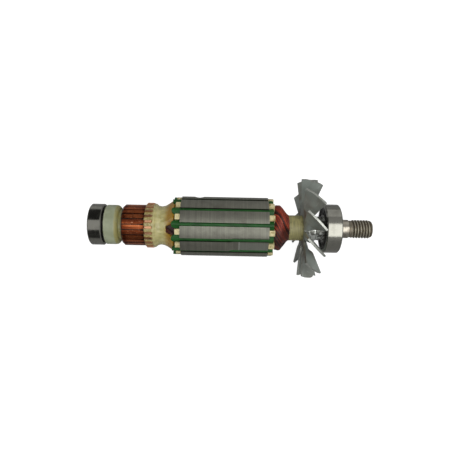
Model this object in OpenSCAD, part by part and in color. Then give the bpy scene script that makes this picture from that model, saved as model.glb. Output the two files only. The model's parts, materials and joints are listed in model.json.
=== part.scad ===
// Motor armature of a hand power tool, with its fan and both ball bearings.
// Every piece is drawn round the Z axis, from the rear bearing's outer face upwards.
// laid() then lays the whole rotor down with +X along the shaft towards the threaded end,
// resting on the rear bearing's rim and on the tips of two fan blades.
// Turns are measured round the shaft from straight down.

/* [Shaft] */
// Length from the rear bearing's outer face to the threaded end
shaft_end = 149.3; // [145:0.1:156]
// How far the rear end lies inside the bearing's face
shaft_rear_inset = 0.3; // [0.1:0.1:1]
// Diameter of the main shaft, which the front bearing also runs on
shaft_d = 10; // [9.4:0.1:10.4]
// Diameter of the rear bearing's seat
rear_seat_d = 8; // [6:0.1:8.4]
// Length of the plain journal between the front bearing and the undercut
journal_l = 5.8; // [4:0.1:8]
// How much thinner in radius the journal and the thread are than the bearing's seat
journal_relief = 0.05; // [0.02:0.01:0.2]
// Width of the grinding relief between the front bearing and the journal
relief_w = 0.7; // [0.6:0.05:1]
// Depth of the grinding relief
relief_depth = 0.3; // [0.2:0.05:0.5]
// Width of the thread undercut
undercut_w = 1.1; // [0.6:0.1:2]
// Depth of the thread undercut
undercut_depth = 0.45; // [0.2:0.05:0.8]
// Chamfer on the ends of the shaft
shaft_chamfer = 0.8; // [0.2:0.1:1.4]
// Length of the long chamfer on the threaded end
thread_chamfer = 1.3; // [0.5:0.1:2]
// Mouth diameter of the lathe centre holes
centre_d = 2.6; // [1:0.1:4]

/* [Insulating sleeve] */
// Outer diameter of the insulating sleeve round the shaft
sleeve_d = 13.5; // [12.6:0.1:14]
// Where the sleeve starts, behind the commutator
sleeve_start = 36; // [35.6:0.1:39]

/* [Laminated core] */
// Outer diameter of the core
core_d = 31.6; // [30:0.1:33]
// Rear end of the core
core_start = 48.2; // [47.6:0.1:49]
// Length of the core
core_l = 45.4; // [38:0.1:50]
// Number of teeth and slots
slots = 12; // [10:1:14]
// Turn of the slots round the shaft
slot_turn = 28.4; // [0:0.1:30]
// Width of a tooth's neck
tooth_w = 3.2; // [2.6:0.1:3.6]
// Width of a slot's mouth
slot_mouth = 1.9; // [1.4:0.1:2.4]
// Depth of a slot's mouth, which is the thickness of a tooth's tip
tip_t = 0.9; // [0.6:0.1:1.2]
// Depth of the sloping shoulder under a tooth's tip
shoulder_t = 0.8; // [0.5:0.1:1]
// Radius of the slot's floor
slot_floor_r = 9; // [8.6:0.1:9.6]
// Depth of the long balance flat
flat_depth = 1.1; // [0.5:0.1:1.4]
// Length of the long balance flat
flat_l = 17.5; // [8:0.5:24]
// Turn of the long balance flat
flat_turn = -106; // [-180:1:180]
// Depth of the short balance notch
notch_depth = 0.7; // [0.3:0.1:1.2]
// Middle of the short balance notch, from the core's rear end
notch_at = 9.2; // [5:0.1:14]
// Turn of the short balance notch
notch_turn = 122; // [-180:1:180]
// Radius of the balancing cutter
cutter_r = 5.5; // [4:0.5:9]

/* [Slot insulation] */
// Thickness of the slot liners
liner_t = 0.3; // [0.2:0.05:0.4]
// Gap between pieces pushed into a slot
slot_gap = 0.03; // [0.01:0.01:0.08]
// Thickness of the slot wedges under the shoulder
wedge_t = 0.6; // [0.5:0.05:0.9]
// How far the wedges' crown stays below the core's surface
crown_inset = 0.55; // [0.4:0.05:0.8]
// How far the wedges stick out behind the core
wedge_rear = 4.5; // [3.4:0.1:5]
// How far the wedges stick out in front of the core
wedge_front = 2.4; // [1:0.1:2.8]
// How far the liners stick out at each end
liner_out = 2.1; // [1:0.1:2.4]

/* [End insulators] */
// Thickness of the rear end insulator
rear_insulator_t = 2.6; // [2.5:0.1:3]
// Thickness of the front end insulator
front_insulator_t = 2.9; // [2.5:0.1:3.4]
// Width of the insulators' fingers
finger_w = 2.8; // [2.2:0.1:3]
// How far the insulators' fingers end below the core's surface
finger_inset = 0.55; // [0.3:0.05:1]

/* [Winding] */
// Coil bundles in the front winding head
bundles = 24; // [12:1:24]
// How far the coil bundles stand out
bundle_rise = 0.9; // [0.4:0.1:1.2]
// How far the front winding head lies below the core's surface
head_drop = 3.4; // [2.8:0.1:4]
// Length of the front winding head
head_l = 8.6; // [7:0.1:10]
// How far round the shaft each bundle runs
bundle_sweep = 78; // [50:1:100]
// Room between the winding heads and the sleeve
head_room = 0.25; // [0.2:0.05:0.5]
// Length of the rear winding head behind the core
rear_head_l = 7.2; // [6:0.1:8]

/* [Commutator] */
// Rear end of the commutator's bars
comm_start = 17.5; // [17.3:0.1:18]
// Length of the bars
comm_l = 17.5; // [16:0.1:17.8]
// Diameter of the brush track
comm_d = 21.8; // [20.8:0.1:22.4]
// Number of bars
bars = 24; // [20:1:28]
// Turn of the bars round the shaft
bar_turn = 7.4; // [0:0.1:15]
// Width of the gap between two bars
bar_gap = 0.5; // [0.3:0.05:0.7]
// Depth of the undercut between two bars
bar_undercut = 0.6; // [0.3:0.1:0.9]
// Chamfer on the bars' rear end
bar_chamfer = 0.7; // [0.3:0.1:1]
// Height of the bars, from foot to brush track
bar_h = 2.9; // [2.5:0.1:3.2]
// Height of the dovetail's waist, as a share of the bars' height
claw_share = 0.32; // [0.25:0.01:0.4]
// Length of the dovetail's claws
claw_l = 1.1; // [0.8:0.1:1.4]
// How far the moulding stands out behind the bars
end_lip = 0.3; // [0.1:0.05:0.5]
// Wall of the steel bush, as a share of the room between the shaft and the bars
bush_share = 0.5; // [0.4:0.05:0.65]
// How far the tangs stand over the brush track
tang_over = 1.15; // [0.9:0.05:1.5]
// Where the tangs rise from the bars, from the bars' rear end
tang_at = 11.6; // [11:0.1:12.4]
// Length of the tangs
tang_l = 4.6; // [4:0.1:4.9]
// Width of the tangs
tang_w = 1.15; // [0.9:0.05:1.5]
// Thickness of the tangs
tang_t = 0.85; // [0.6:0.05:1]

/* [Lead resin] */
// How far the resin between the tangs stands over the brush track
resin_over = 0.75; // [0.5:0.05:1]
// How far the resin's waist lies below the brush track
waist_drop = 0.7; // [0.4:0.05:1.1]
// Where the waist lies
waist_at = 37.4; // [36.6:0.1:38]
// How far the resin's front end lies below the core's surface
resin_drop = 2.2; // [1.9:0.1:2.8]
// Front end of the resin
resin_end = 43.5; // [42.6:0.1:43.6]
// Thickness of the resin over the leads
resin_t = 0.9; // [0.6:0.1:1.2]
// Size of the resin beads between the tangs
bead_d = 1.7; // [1:0.1:2]
// How gently the resin rises beside the tangs
resin_rise = 0.4; // [0.2:0.05:0.6]

/* [Rear collar] */
// How far the collar's body lies below the brush track
collar_drop = 0.35; // [0.1:0.05:0.9]
// Space between the bearing and the collar's body
collar_gap = 1.1; // [0.6:0.1:1.6]
// Diameter of the collar's neck on the bearing side
collar_neck_d = 11.4; // [10.6:0.1:11.8]
// Rounding of the collar's front corner
collar_round = 2.3; // [1:0.1:2.8]
// Small chamfer on the collar's rear corner
collar_chamfer = 0.3; // [0.1:0.05:0.6]
// Length of the collar's body
collar_l = 7.3; // [5:0.1:8]
// Diameter of the collar's nose against the commutator
nose_d = 16.2; // [14.4:0.1:16.4]

/* [Fan] */
// Number of blades
blades = 12; // [10:1:13]
// Outer radius of the flat blank
blank_r = 26.5; // [25:0.1:28]
// Thickness of the sheet
sheet_t = 1.1; // [0.8:0.05:1.4]
// Rear face of the fan's flat middle
fan_at = 112.3; // [112:0.1:113]
// Radius of the flat middle
fan_hub_r = 8.8; // [8.2:0.1:9.6]
// How far each blade is twisted out of the blank
blade_twist = 44; // [30:1:52]
// Length of the bend that turns each blade out of the blank
bend_l = 6.5; // [4:0.5:9]
// Twist line, as a share of the half width towards the leading edge
twist_line = 0.64; // [0.4:0.02:0.9]
// Width of the slits between blades
slit_w = 0.5; // [0.3:0.05:0.8]
// How far each blade's root lies inside the flat middle
blade_root = 0.8; // [0.4:0.1:1.2]
// How far the blades' faces lie below the flat middle's
blade_skin = 0.02; // [0.01:0.01:0.05]
// Turn of the first blade's blank
fan_turn = 25.7; // [0:0.1:30]
// Diameter of the fan's boss
boss_d = 14; // [12.8:0.1:15]
// Length of the boss in front of the fan
boss_l = 5.8; // [4:0.1:7]
// Diameter of the boss's spigot, which the fan is staked on
spigot_d = 12; // [11.4:0.1:12.4]
// Chamfer on the boss's front edge
boss_chamfer = 0.5; // [0.2:0.1:0.8]
// Outer diameter of the spacer between boss and bearing
spacer_d = 12.8; // [12:0.1:13.6]

/* [Bearings] */
// Front face of the front bearing
front_bearing_end = 131.4; // [131:0.1:133]
// Outer diameter of the rear bearing
rear_od = 22; // [21:0.5:23]
// Width of the rear bearing
rear_w = 7; // [6.8:0.1:7.2]
// Ball diameter of the rear bearing, as a share of outer diameter less bore
rear_ball_share = 0.2835; // [0.26:0.0005:0.29]
// Outer diameter of the front bearing
front_od = 26; // [25.4:0.1:27]
// Width of the front bearing
front_w = 8; // [7.6:0.1:8]
// Ball diameter of the front bearing, as a share of outer diameter less bore
front_ball_share = 0.2977; // [0.26:0.0001:0.3]
// Balls in each bearing
balls = 7; // [6:1:7]
// Running clearance between balls and raceways
ball_play = 0.035; // [0.01:0.005:0.06]
// Height of the lands above the raceways, as a share of the ball diameter
land_share = 0.37; // [0.32:0.01:0.4]
// Chamfer on the bearings' corners
bearing_chamfer = 0.5; // [0.2:0.1:0.8]
// Thickness of the seals
seal_t = 0.7; // [0.5:0.1:0.8]
// How deep the seals lie below the rings' faces
seal_inset = 0.15; // [0.05:0.05:0.25]
// Depth of the seal's seat in the outer ring
seal_seat = 0.45; // [0.3:0.05:0.6]
// Play between seal lip and inner ring
lip_play = 0.12; // [0.05:0.01:0.2]
// Radial thickness of the ball cages
cage_t = 0.9; // [0.6:0.1:1.2]
// Small chamfer on the edges of the bearings' lands
land_chamfer = 0.1; // [0.05:0.05:0.2]
// Turn of the rings' seams
ring_turn = 15; // [0:5:90]
// Depth of the groove moulded round the seals' faces
seal_groove = 0.2; // [0.1:0.05:0.3]
// Plain width of the seals inside and outside that groove
seal_edge = 1; // [0.6:0.1:1.4]
// Wall of the cages beside each ball, as a share of the room up to the seals
cage_wall_share = 0.56; // [0.45:0.01:0.65]
// Play between ball and cage
cage_play = 0.06; // [0.03:0.01:0.1]

/* [Hidden] */
$fn = 96;
// A small overlap that makes cuts run clear of the faces they open
cut = 1;
// Steps that a curve in a profile is drawn with
curve_steps = 8;

core_end = core_start + core_l;
front_bearing_start = front_bearing_end - front_w;
comm_end = comm_start + comm_l;
foot_r = comm_d / 2 - bar_h;
bush_r = shaft_d / 2 + (foot_r - shaft_d / 2) * bush_share;
tang_r = comm_d / 2 + tang_over;
resin_over_r = comm_d / 2 + resin_over;
waist_r = comm_d / 2 - waist_drop;
claw_r = foot_r + bar_h * claw_share;
claw_end_r = claw_r + claw_l * claw_share;
rear_ring_start = core_start - rear_insulator_t;
front_ring_end = core_end + front_insulator_t;
collar_start = rear_w + collar_gap;
collar_round_end = collar_start + collar_l;
boss_start = fan_at + sheet_t;
boss_end = boss_start + boss_l;
journal_end = front_bearing_end + journal_l;
thread_start = journal_end + undercut_w;

// Bearings as [bore, outer diameter, width, ball diameter, pitch diameter, rear face]
rear_bearing = [rear_seat_d, rear_od, rear_w,
    (rear_od - rear_seat_d) * rear_ball_share, (rear_od + rear_seat_d) / 2, 0];
front_bearing = [shaft_d, front_od, front_w,
    (front_od - shaft_d) * front_ball_share, (front_od + shaft_d) / 2, front_bearing_start];

function smooth(t) = let (s = min(max(t, 0), 1)) s * s * (3 - 2 * s);

// The resting pose, from the fan's tip points and the rear bearing's rim
tip_points = [for (i = [0:blades - 1], v = [-1:0.25:1], side = [-1, 1])
    let (p = blade_point(blank_r, v, side), turn = fan_turn + i * 360 / blades)
    [p[0] * cos(turn) - p[1] * sin(turn), p[0] * sin(turn) + p[1] * cos(turn), p[2] + fan_at + sheet_t / 2]];
rim = [rear_od / 2, bearing_chamfer];
lean = max([for (p = tip_points) atan((p[0] - rim[0]) / (p[2] - rim[1]))]);
axis_height = rim[0] * cos(lean) - rim[1] * sin(lean);
low_x = -(rear_od / 2 - bearing_chamfer) * sin(lean);
high_x = shaft_end * cos(lean) + (shaft_d / 2 - journal_relief - shaft_chamfer) * sin(lean);
mid_x = (low_x + high_x) / 2;
mid_y = (max([for (p = tip_points) p[1]]) + min([for (p = tip_points) p[1]])) / 2;

// Lays the rotor down on its rear bearing and two blades
module laid() {
    translate([-mid_x, -mid_y, axis_height])
        rotate([0, -lean, 0])
            rotate([0, 90, 0])
                children();
}

// Repeats a piece round the shaft
module around(count, turn) {
    for (i = [0:count - 1])
        rotate(turn + i * 360 / count)
            children();
}

// A plain tube on the shaft
module tube(inner_r, outer_r, from, to) {
    translate([0, 0, from])
        difference() {
            cylinder(r = outer_r, h = to - from);
            translate([0, 0, -cut])
                cylinder(r = inner_r, h = to - from + 2 * cut);
        }
}

// ---- Shaft ----

module shaft() {
    seat_r = rear_seat_d / 2;
    main_r = shaft_d / 2;
    journal_r = main_r - journal_relief;
    neck_r = journal_r - undercut_depth;
    relief_r = journal_r - relief_depth;
    hole_r = centre_d / 2;
    hole_depth = hole_r * tan(60);
    end_r = journal_r - shaft_chamfer;
    color("#5E574E")
        laid()
            rotate_extrude()
                polygon([
                    [0, shaft_rear_inset + hole_depth],
                    [hole_r, shaft_rear_inset],
                    [seat_r - shaft_chamfer, shaft_rear_inset],
                    [seat_r, shaft_rear_inset + shaft_chamfer],
                    [seat_r, rear_w],
                    [main_r, rear_w],
                    [main_r, front_bearing_end],
                    [relief_r, front_bearing_end],
                    [relief_r, front_bearing_end + relief_w],
                    [journal_r, front_bearing_end + relief_w],
                    [journal_r, journal_end - undercut_depth],
                    [neck_r, journal_end],
                    [neck_r, thread_start - undercut_depth],
                    [journal_r, thread_start],
                    [journal_r, shaft_end - thread_chamfer],
                    [end_r, shaft_end],
                    [hole_r, shaft_end],
                    [0, shaft_end - hole_depth]
                ]);
}

module shaft_sleeve() {
    color("#8C8658")
        laid()
            tube(shaft_d / 2, sleeve_d / 2, sleeve_start, fan_at);
}

// ---- Laminated core and its insulation ----

// Half the slot's width at a distance from the shaft, with the wall moved in
function slot_half(r, inset) = r * tan(180 / slots) - (tooth_w / 2 + inset) / cos(180 / slots);

// Where the slot's straight sides end under the tooth tips
shoulder_r = core_d / 2 - tip_t - shoulder_t;
tip_r = core_d / 2 - tip_t;

// A slot's outline below its mouth, up to a given height, with a rounded floor
module slot_outline(inset, top_r) {
    centre_r = slot_floor_r + slot_half(slot_floor_r, 0) + tooth_w / 4;
    floor_half = slot_half(centre_r, inset);
    floor_drop = centre_r - slot_floor_r - inset;
    polygon(concat(
        [[top_r, slot_half(top_r, inset)]],
        [for (i = [0:curve_steps])
            let (a = 90 + i * 180 / curve_steps)
            [centre_r + floor_drop * cos(a), floor_half * sin(a)]],
        [[top_r, -slot_half(top_r, inset)]]
    ));
}

module slot_cut() {
    half_mouth = slot_mouth / 2;
    slot_outline(0, shoulder_r);
    polygon([
        [shoulder_r, slot_half(shoulder_r, 0)],
        [tip_r, half_mouth],
        [core_d / 2 + cut, half_mouth],
        [core_d / 2 + cut, -half_mouth],
        [tip_r, -half_mouth],
        [shoulder_r, -slot_half(shoulder_r, 0)]
    ]);
}

module lamination_stack() {
    color("#7C7C78")
        laid()
            difference() {
                translate([0, 0, core_start])
                    linear_extrude(core_l)
                        difference() {
                            circle(d = core_d);
                            circle(d = sleeve_d);
                            around(slots, slot_turn)
                                slot_cut();
                        }
                balance_flat();
                balance_notch();
            }
}

// The long flat milled from the core's front end
module balance_flat() {
    floor_at = core_d / 2 - flat_depth;
    run_in = sqrt(cutter_r * cutter_r - (cutter_r - flat_depth) * (cutter_r - flat_depth));
    from = core_end - flat_l;
    rotate(flat_turn) {
        translate([floor_at, -core_d / 2, from])
            cube([flat_depth + cut, core_d, flat_l + cut]);
        translate([floor_at + cutter_r, core_d / 2, from])
            rotate([90, 0, 0])
                cylinder(r = cutter_r, h = core_d);
    }
}

// The short notch that the cutter alone leaves
module balance_notch() {
    rotate(notch_turn)
        translate([core_d / 2 - notch_depth + cutter_r, core_d / 2, core_start + notch_at])
            rotate([90, 0, 0])
                cylinder(r = cutter_r, h = core_d);
}

// Slot insulation ends below the wedge
liner_top = shoulder_r - wedge_t;

module slot_liners() {
    color("#1F5A28")
        laid()
            translate([0, 0, core_start - liner_out])
                linear_extrude(core_l + 2 * liner_out)
                    around(slots, slot_turn)
                        difference() {
                            slot_outline(slot_gap, liner_top - slot_gap);
                            slot_outline(slot_gap + liner_t, liner_top + cut);
                        }
}

// A wedge fills the slot under the tooth tips and shows a crown in the mouth
module slot_wedges() {
    half_mouth = slot_mouth / 2 - slot_gap;
    low_half = slot_half(liner_top, slot_gap);
    high_half = slot_half(shoulder_r, slot_gap);
    top_r = tip_r - slot_gap;
    crown_r = core_d / 2 - crown_inset;
    length = core_l + wedge_rear + wedge_front;
    color("#2A6E33")
        laid()
            translate([0, 0, core_start - wedge_rear])
                around(slots, slot_turn)
                    intersection() {
                        linear_extrude(length)
                            polygon([
                                [liner_top, low_half],
                                [shoulder_r - slot_gap, high_half],
                                [top_r, half_mouth],
                                [crown_r - slot_gap, half_mouth / 2],
                                [crown_r, 0],
                                [crown_r - slot_gap, -half_mouth / 2],
                                [top_r, -half_mouth],
                                [shoulder_r - slot_gap, -high_half],
                                [liner_top, -low_half]
                            ]);
                        round_ended(high_half + slot_gap, length + cut, core_d);
                    }
}

// A strip with a round end at Z = 0, seen from outside, for cutting another piece's outline
module round_ended(half, length, height) {
    rotate([0, 90, 0])
        linear_extrude(height)
            polygon(concat(
                [[-length, half], [-length, -half]],
                [for (i = [0:curve_steps])
                    let (a = i * 180 / curve_steps - 90)
                    half * [cos(a) - 1, sin(a)]]
            ));
}

// A ring with one finger for each tooth
module end_insulator(from, thickness) {
    ring_r = slot_floor_r - slot_gap;
    finger_r = core_d / 2 - finger_inset;
    color("#D6CBA0")
        laid()
            translate([0, 0, from])
                difference() {
                    union() {
                        cylinder(r = ring_r, h = thickness);
                        intersection() {
                            cylinder(r = finger_r, h = thickness);
                            around(slots, slot_turn + 180 / slots)
                                translate([sleeve_d / 2, -finger_w / 2, 0])
                                    cube([finger_r, finger_w, thickness]);
                        }
                    }
                    translate([0, 0, -cut])
                        cylinder(d = sleeve_d, h = thickness + 2 * cut);
                }
}

module rear_end_insulator() {
    end_insulator(rear_ring_start, rear_insulator_t);
}

module front_end_insulator() {
    end_insulator(core_end, front_insulator_t);
}

// ---- Winding ----

head_hole_r = sleeve_d / 2 + head_room;
head_r = core_d / 2 - head_drop;
bundle_cols = 6;
head_cols = bundles * bundle_cols;
head_rows = 13;
// The front head's outline, as [share of its length, share of its height over the hole]
head_outline = [
    [0, 0.8],
    [0.04, 0.92],
    [0.12, 0.99],
    [0.22, 1],
    [0.34, 1],
    [0.45, 0.97],
    [0.55, 0.88],
    [0.64, 0.75],
    [0.73, 0.6],
    [0.81, 0.44],
    [0.88, 0.29],
    [0.95, 0.14],
    [1, 0.04]
];
// Where the front head's columns start, half a column off the slots' middles
head_turn = slot_turn + 180 / head_cols;

// A point of the front head: row along the outline, col round the shaft and across each bundle
function head_point(row, col) =
    let (
        t = row / (head_rows - 1),
        across = 2 * (col % bundle_cols) / bundle_cols - 1,
        valley = bundle_rise * (1 - sqrt(1 - across * across)),
        fade = 1 - t,
        r = head_hole_r + (head_r - head_hole_r) * head_outline[row][1] - valley * fade,
        turn = head_turn + col * 360 / head_cols + bundle_sweep * t
    )
    [r * cos(turn), r * sin(turn), front_ring_end + head_l * head_outline[row][0] - valley * t];

// Columns by which the bundles have wound round at the head's tip
swept_cols = round(bundle_sweep * head_cols / 360);

// A point of the hole through the front head: end 0 at the insulator, end 1 at the head's tip
function hole_point(end, col) =
    let (
        turn = head_turn + col * 360 / head_cols,
        tip = head_outline[head_rows - 1][0]
    )
    [head_hole_r * cos(turn), head_hole_r * sin(turn), front_ring_end + head_l * end * tip];

// The front head, with its coil bundles as ribs that wind in towards the sleeve
module coil_head() {
    rows = head_rows + 2;
    points = concat(
        [for (i = [0:head_rows - 1], j = [0:head_cols - 1]) head_point(i, j)],
        [for (end = [1, 0], j = [0:head_cols - 1]) hole_point(end, j)]
    );
    function at(i, j) =
        (i % rows) * head_cols + (j + (i < head_rows ? 0 : swept_cols)) % head_cols;
    polyhedron(points, [for (i = [0:rows - 1], j = [0:head_cols - 1])
        each [
            [at(i, j), at(i + 1, j), at(i + 1, j + 1)],
            [at(i, j), at(i + 1, j + 1), at(i, j + 1)]
        ]]);
}

// The coils' sides in the slots, both winding heads and the leads to the tangs
module winding() {
    side_top = liner_top - 2 * slot_gap;
    rear_head_start = core_start - rear_head_l;
    color("#6E2418")
        laid() {
            translate([0, 0, rear_ring_start - liner_t])
                linear_extrude(front_ring_end - rear_ring_start + 2 * liner_t)
                    around(slots, slot_turn)
                        slot_outline(liner_t + 2 * slot_gap, side_top);
            coil_head();
            rotate_extrude($fn = 48)
                polygon(concat(
                    [[head_hole_r, rear_ring_start],
                     [side_top, rear_ring_start],
                     [side_top, resin_end]],
                    [for (i = [curve_steps:-1:0])
                        let (z = waist_at + (resin_end - waist_at) * i / curve_steps)
                        [resin_r(z) - resin_t - slot_gap, z]],
                    [[waist_r - resin_t - slot_gap, comm_end + 2 * slot_gap],
                     [waist_r - 2 * resin_t, comm_end + 2 * slot_gap],
                     [waist_r - 2 * resin_t, rear_head_start],
                     [head_hole_r, rear_head_start]]
                ));
        }
}

// ---- Lead resin ----

function resin_r(z) = waist_r
    + (core_d / 2 - resin_drop - waist_r) * smooth((z - waist_at) / (resin_end - waist_at));

tang_start = comm_start + tang_at;

module lead_resin() {
    shoulder_end = comm_end - resin_rise;
    color("#A9A679")
        laid()
            difference() {
                union() {
                    rotate_extrude()
                        polygon(concat(
                            [[comm_d / 2, tang_start],
                             [resin_over_r - resin_rise, tang_start],
                             [resin_over_r, tang_start + resin_rise],
                             [resin_over_r, shoulder_end - resin_rise],
                             [comm_d / 2, comm_end]],
                            [for (i = [0:curve_steps])
                                let (z = waist_at + (resin_end - waist_at) * i / curve_steps)
                                [resin_r(z), z]],
                            [for (i = [curve_steps:-1:0])
                                let (z = waist_at + (resin_end - waist_at) * i / curve_steps)
                                [resin_r(z) - resin_t, z]],
                            [[waist_r - resin_t, comm_end],
                             [comm_d / 2, comm_end - slot_gap]]
                        ));
                    around(bars, bar_turn + 180 / bars)
                        translate([resin_over_r - bead_d / 4, 0, tang_start + bead_d * 1.5])
                            sphere(d = bead_d, $fn = 32);
                }
                around(bars, bar_turn)
                    tang(slot_gap);
                cylinder(d = comm_d, h = comm_end - slot_gap);
            }
}

// ---- Commutator ----

// A tang: a hook that rises from the bar and lies over its lead
module tang(room) {
    top = tang_r + room;
    base = comm_d / 2 - tang_t / 2;
    half = tang_w / 2 + room;
    end = tang_start + tang_l + room;
    intersection() {
        translate([0, half, 0])
            rotate([90, 0, 0])
                linear_extrude(2 * half)
                    polygon([
                        [base, tang_start - room],
                        [comm_d / 2, tang_start - room],
                        [top, tang_start + tang_t - room],
                        [top, end - tang_t / 2],
                        [top - tang_t / 2, end],
                        [base, end]
                    ]);
        translate([0, 0, end])
            mirror([0, 0, 1])
                round_ended(half + slot_gap, 2 * tang_l, 2 * tang_r);
    }
}

// A bar's section, with a dovetail foot that the moulding holds
module bar_section() {
    top_r = comm_d / 2;
    polygon([
        [top_r - bar_chamfer, comm_start],
        [top_r, comm_start + bar_chamfer],
        [top_r, comm_end - slot_gap],
        [claw_end_r, comm_end - slot_gap],
        [claw_r, comm_end - claw_l],
        [foot_r, comm_end - claw_l / 2],
        [foot_r, comm_start + claw_l / 2],
        [claw_r, comm_start + claw_l],
        [claw_end_r, comm_start]
    ]);
}

bar_gap_turn = bar_gap / (comm_d / 2) * 180 / PI;

module commutator_bars() {
    bar_angle = 360 / bars - bar_gap_turn;
    color("#A4602F")
        laid()
            around(bars, bar_turn)
                union() {
                    rotate(-bar_angle / 2)
                        rotate_extrude(angle = bar_angle)
                            bar_section();
                    tang(0);
                }
}

// Insulating strips between the bars, undercut below the brush track
module commutator_micas() {
    color("#3B2A1E")
        laid()
            around(bars, bar_turn + 180 / bars)
                rotate(-bar_gap_turn / 2)
                    rotate_extrude(angle = bar_gap_turn)
                        intersection() {
                            bar_section();
                            translate([0, comm_start])
                                square([comm_d / 2 - bar_undercut, comm_l]);
                        }
}

module commutator_moulding() {
    lip_r = comm_d / 2 - bar_chamfer - bar_chamfer / 4;
    color("#2A1C12")
        laid()
            rotate_extrude()
                polygon([
                    [bush_r, comm_start - end_lip],
                    [lip_r, comm_start - end_lip],
                    [lip_r, comm_start],
                    [claw_end_r, comm_start],
                    [claw_r, comm_start + claw_l],
                    [foot_r, comm_start + claw_l / 2],
                    [foot_r, comm_end - claw_l / 2],
                    [claw_r, comm_end - claw_l],
                    [claw_end_r, comm_end - slot_gap],
                    [bush_r, comm_end - slot_gap]
                ]);
}

module commutator_bush() {
    color("#8A8A86")
        laid()
            tube(shaft_d / 2, bush_r, comm_start - end_lip, sleeve_start);
}

// ---- Rear collar ----

module rear_collar() {
    body_r = comm_d / 2 - collar_drop;
    nose_r = nose_d / 2;
    corner = [body_r - collar_round, collar_round_end - collar_round];
    color("#8E9A80")
        laid()
            rotate_extrude()
                polygon(concat(
                    [[shaft_d / 2, rear_w],
                     [collar_neck_d / 2, rear_w],
                     [collar_neck_d / 2, collar_start],
                     [body_r - collar_chamfer, collar_start],
                     [body_r, collar_start + collar_chamfer]],
                    [for (i = [0:curve_steps])
                        let (a = i * 90 / curve_steps)
                        corner + collar_round * [cos(a), sin(a)]],
                    [[nose_r, collar_round_end],
                     [nose_r, comm_start - end_lip],
                     [shaft_d / 2, comm_start - end_lip]]
                ));
}

// ---- Fan ----

// A point of the blade: v runs from the leading to the trailing edge, side from rear to front
function blade_point(rho, v, side) =
    let (
        half = 180 / blades - slit_w / 2 / rho * 180 / PI,
        half_w = rho * sin(half),
        twist = blade_twist * smooth((rho - fan_hub_r) / bend_l),
        across = rho * sin(v * half) + twist_line * half_w,
        skin = side * (sheet_t / 2 - blade_skin)
    )
    [rho * cos(v * half),
     across * cos(twist) - twist_line * half_w - skin * sin(twist),
     across * sin(twist) + skin * cos(twist)];

blade_cols = 8;
// Rows lie close together where the blade twists
blade_rows = [0, 0.05, 0.12, 0.2, 0.28, 0.38, 0.6, 1];
blade_foot_r = fan_hub_r - blade_root;
blade_radii = [for (t = blade_rows) blade_foot_r + (blank_r - blade_foot_r) * t];

module blade() {
    rows = len(blade_radii);
    layer = rows * (blade_cols + 1);
    points = [for (side = [-1, 1], rho = blade_radii, j = [0:blade_cols])
        blade_point(rho, 2 * j / blade_cols - 1, side)];
    function at(side, i, j) = side * layer + i * (blade_cols + 1) + j;
    skins = [for (i = [0:rows - 2], j = [0:blade_cols - 1])
        each [
            [at(1, i, j), at(1, i + 1, j + 1), at(1, i + 1, j)],
            [at(1, i, j), at(1, i, j + 1), at(1, i + 1, j + 1)],
            [at(0, i, j), at(0, i + 1, j), at(0, i + 1, j + 1)],
            [at(0, i, j), at(0, i + 1, j + 1), at(0, i, j + 1)]
        ]];
    edges = [for (i = [0:rows - 2])
        each [
            [at(0, i, 0), at(1, i, 0), at(1, i + 1, 0)],
            [at(0, i, 0), at(1, i + 1, 0), at(0, i + 1, 0)],
            [at(0, i, blade_cols), at(1, i + 1, blade_cols), at(1, i, blade_cols)],
            [at(0, i, blade_cols), at(0, i + 1, blade_cols), at(1, i + 1, blade_cols)]
        ]];
    last = rows - 1;
    ends = [for (j = [0:blade_cols - 1])
        each [
            [at(0, 0, j), at(1, 0, j + 1), at(1, 0, j)],
            [at(0, 0, j), at(0, 0, j + 1), at(1, 0, j + 1)],
            [at(0, last, j), at(1, last, j), at(1, last, j + 1)],
            [at(0, last, j), at(1, last, j + 1), at(0, last, j + 1)]
        ]];
    polyhedron(points, concat(skins, edges, ends));
}

module fan() {
    color("#6C756E")
        laid()
            translate([0, 0, fan_at + sheet_t / 2])
                difference() {
                    union() {
                        translate([0, 0, -sheet_t / 2])
                            cylinder(r = fan_hub_r, h = sheet_t);
                        around(blades, fan_turn)
                            blade();
                    }
                    translate([0, 0, -sheet_t])
                        cylinder(d = spigot_d, h = 2 * sheet_t);
                }
}

// The steel boss that the fan is staked on
module fan_boss() {
    color("#85857F")
        laid()
            rotate_extrude()
                polygon([
                    [shaft_d / 2, fan_at],
                    [spigot_d / 2, fan_at],
                    [spigot_d / 2, boss_start],
                    [boss_d / 2, boss_start],
                    [boss_d / 2, boss_end - boss_chamfer],
                    [boss_d / 2 - boss_chamfer, boss_end],
                    [shaft_d / 2, boss_end]
                ]);
}

module front_spacer() {
    color("#6B6A64")
        laid()
            tube(shaft_d / 2, spacer_d / 2, boss_end, front_bearing_start);
}

// ---- Ball bearings ----

function land_r(b, out) = b[4] / 2 + out * (b[3] / 2 - b[3] * (0.5 - land_share));

// Ring section between two radii with a raceway, chamfered on its outer or inner corners
module ring_section(b, inner_r, outer_r, chamfer_in, chamfer_out) {
    difference() {
        polygon([
            [inner_r + chamfer_in, 0],
            [outer_r - chamfer_out, 0],
            [outer_r, chamfer_out],
            [outer_r, b[2] - chamfer_out],
            [outer_r - chamfer_out, b[2]],
            [inner_r + chamfer_in, b[2]],
            [inner_r, b[2] - chamfer_in],
            [inner_r, chamfer_in]
        ]);
        translate([b[4] / 2, b[2] / 2])
            circle(r = b[3] / 2 + ball_play);
    }
}

module inner_ring(b) {
    color("#8D8D86")
        laid()
            translate([0, 0, b[5]])
                rotate_extrude()
                    ring_section(b, b[0] / 2, land_r(b, -1), bearing_chamfer / 2, land_chamfer);
}

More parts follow.
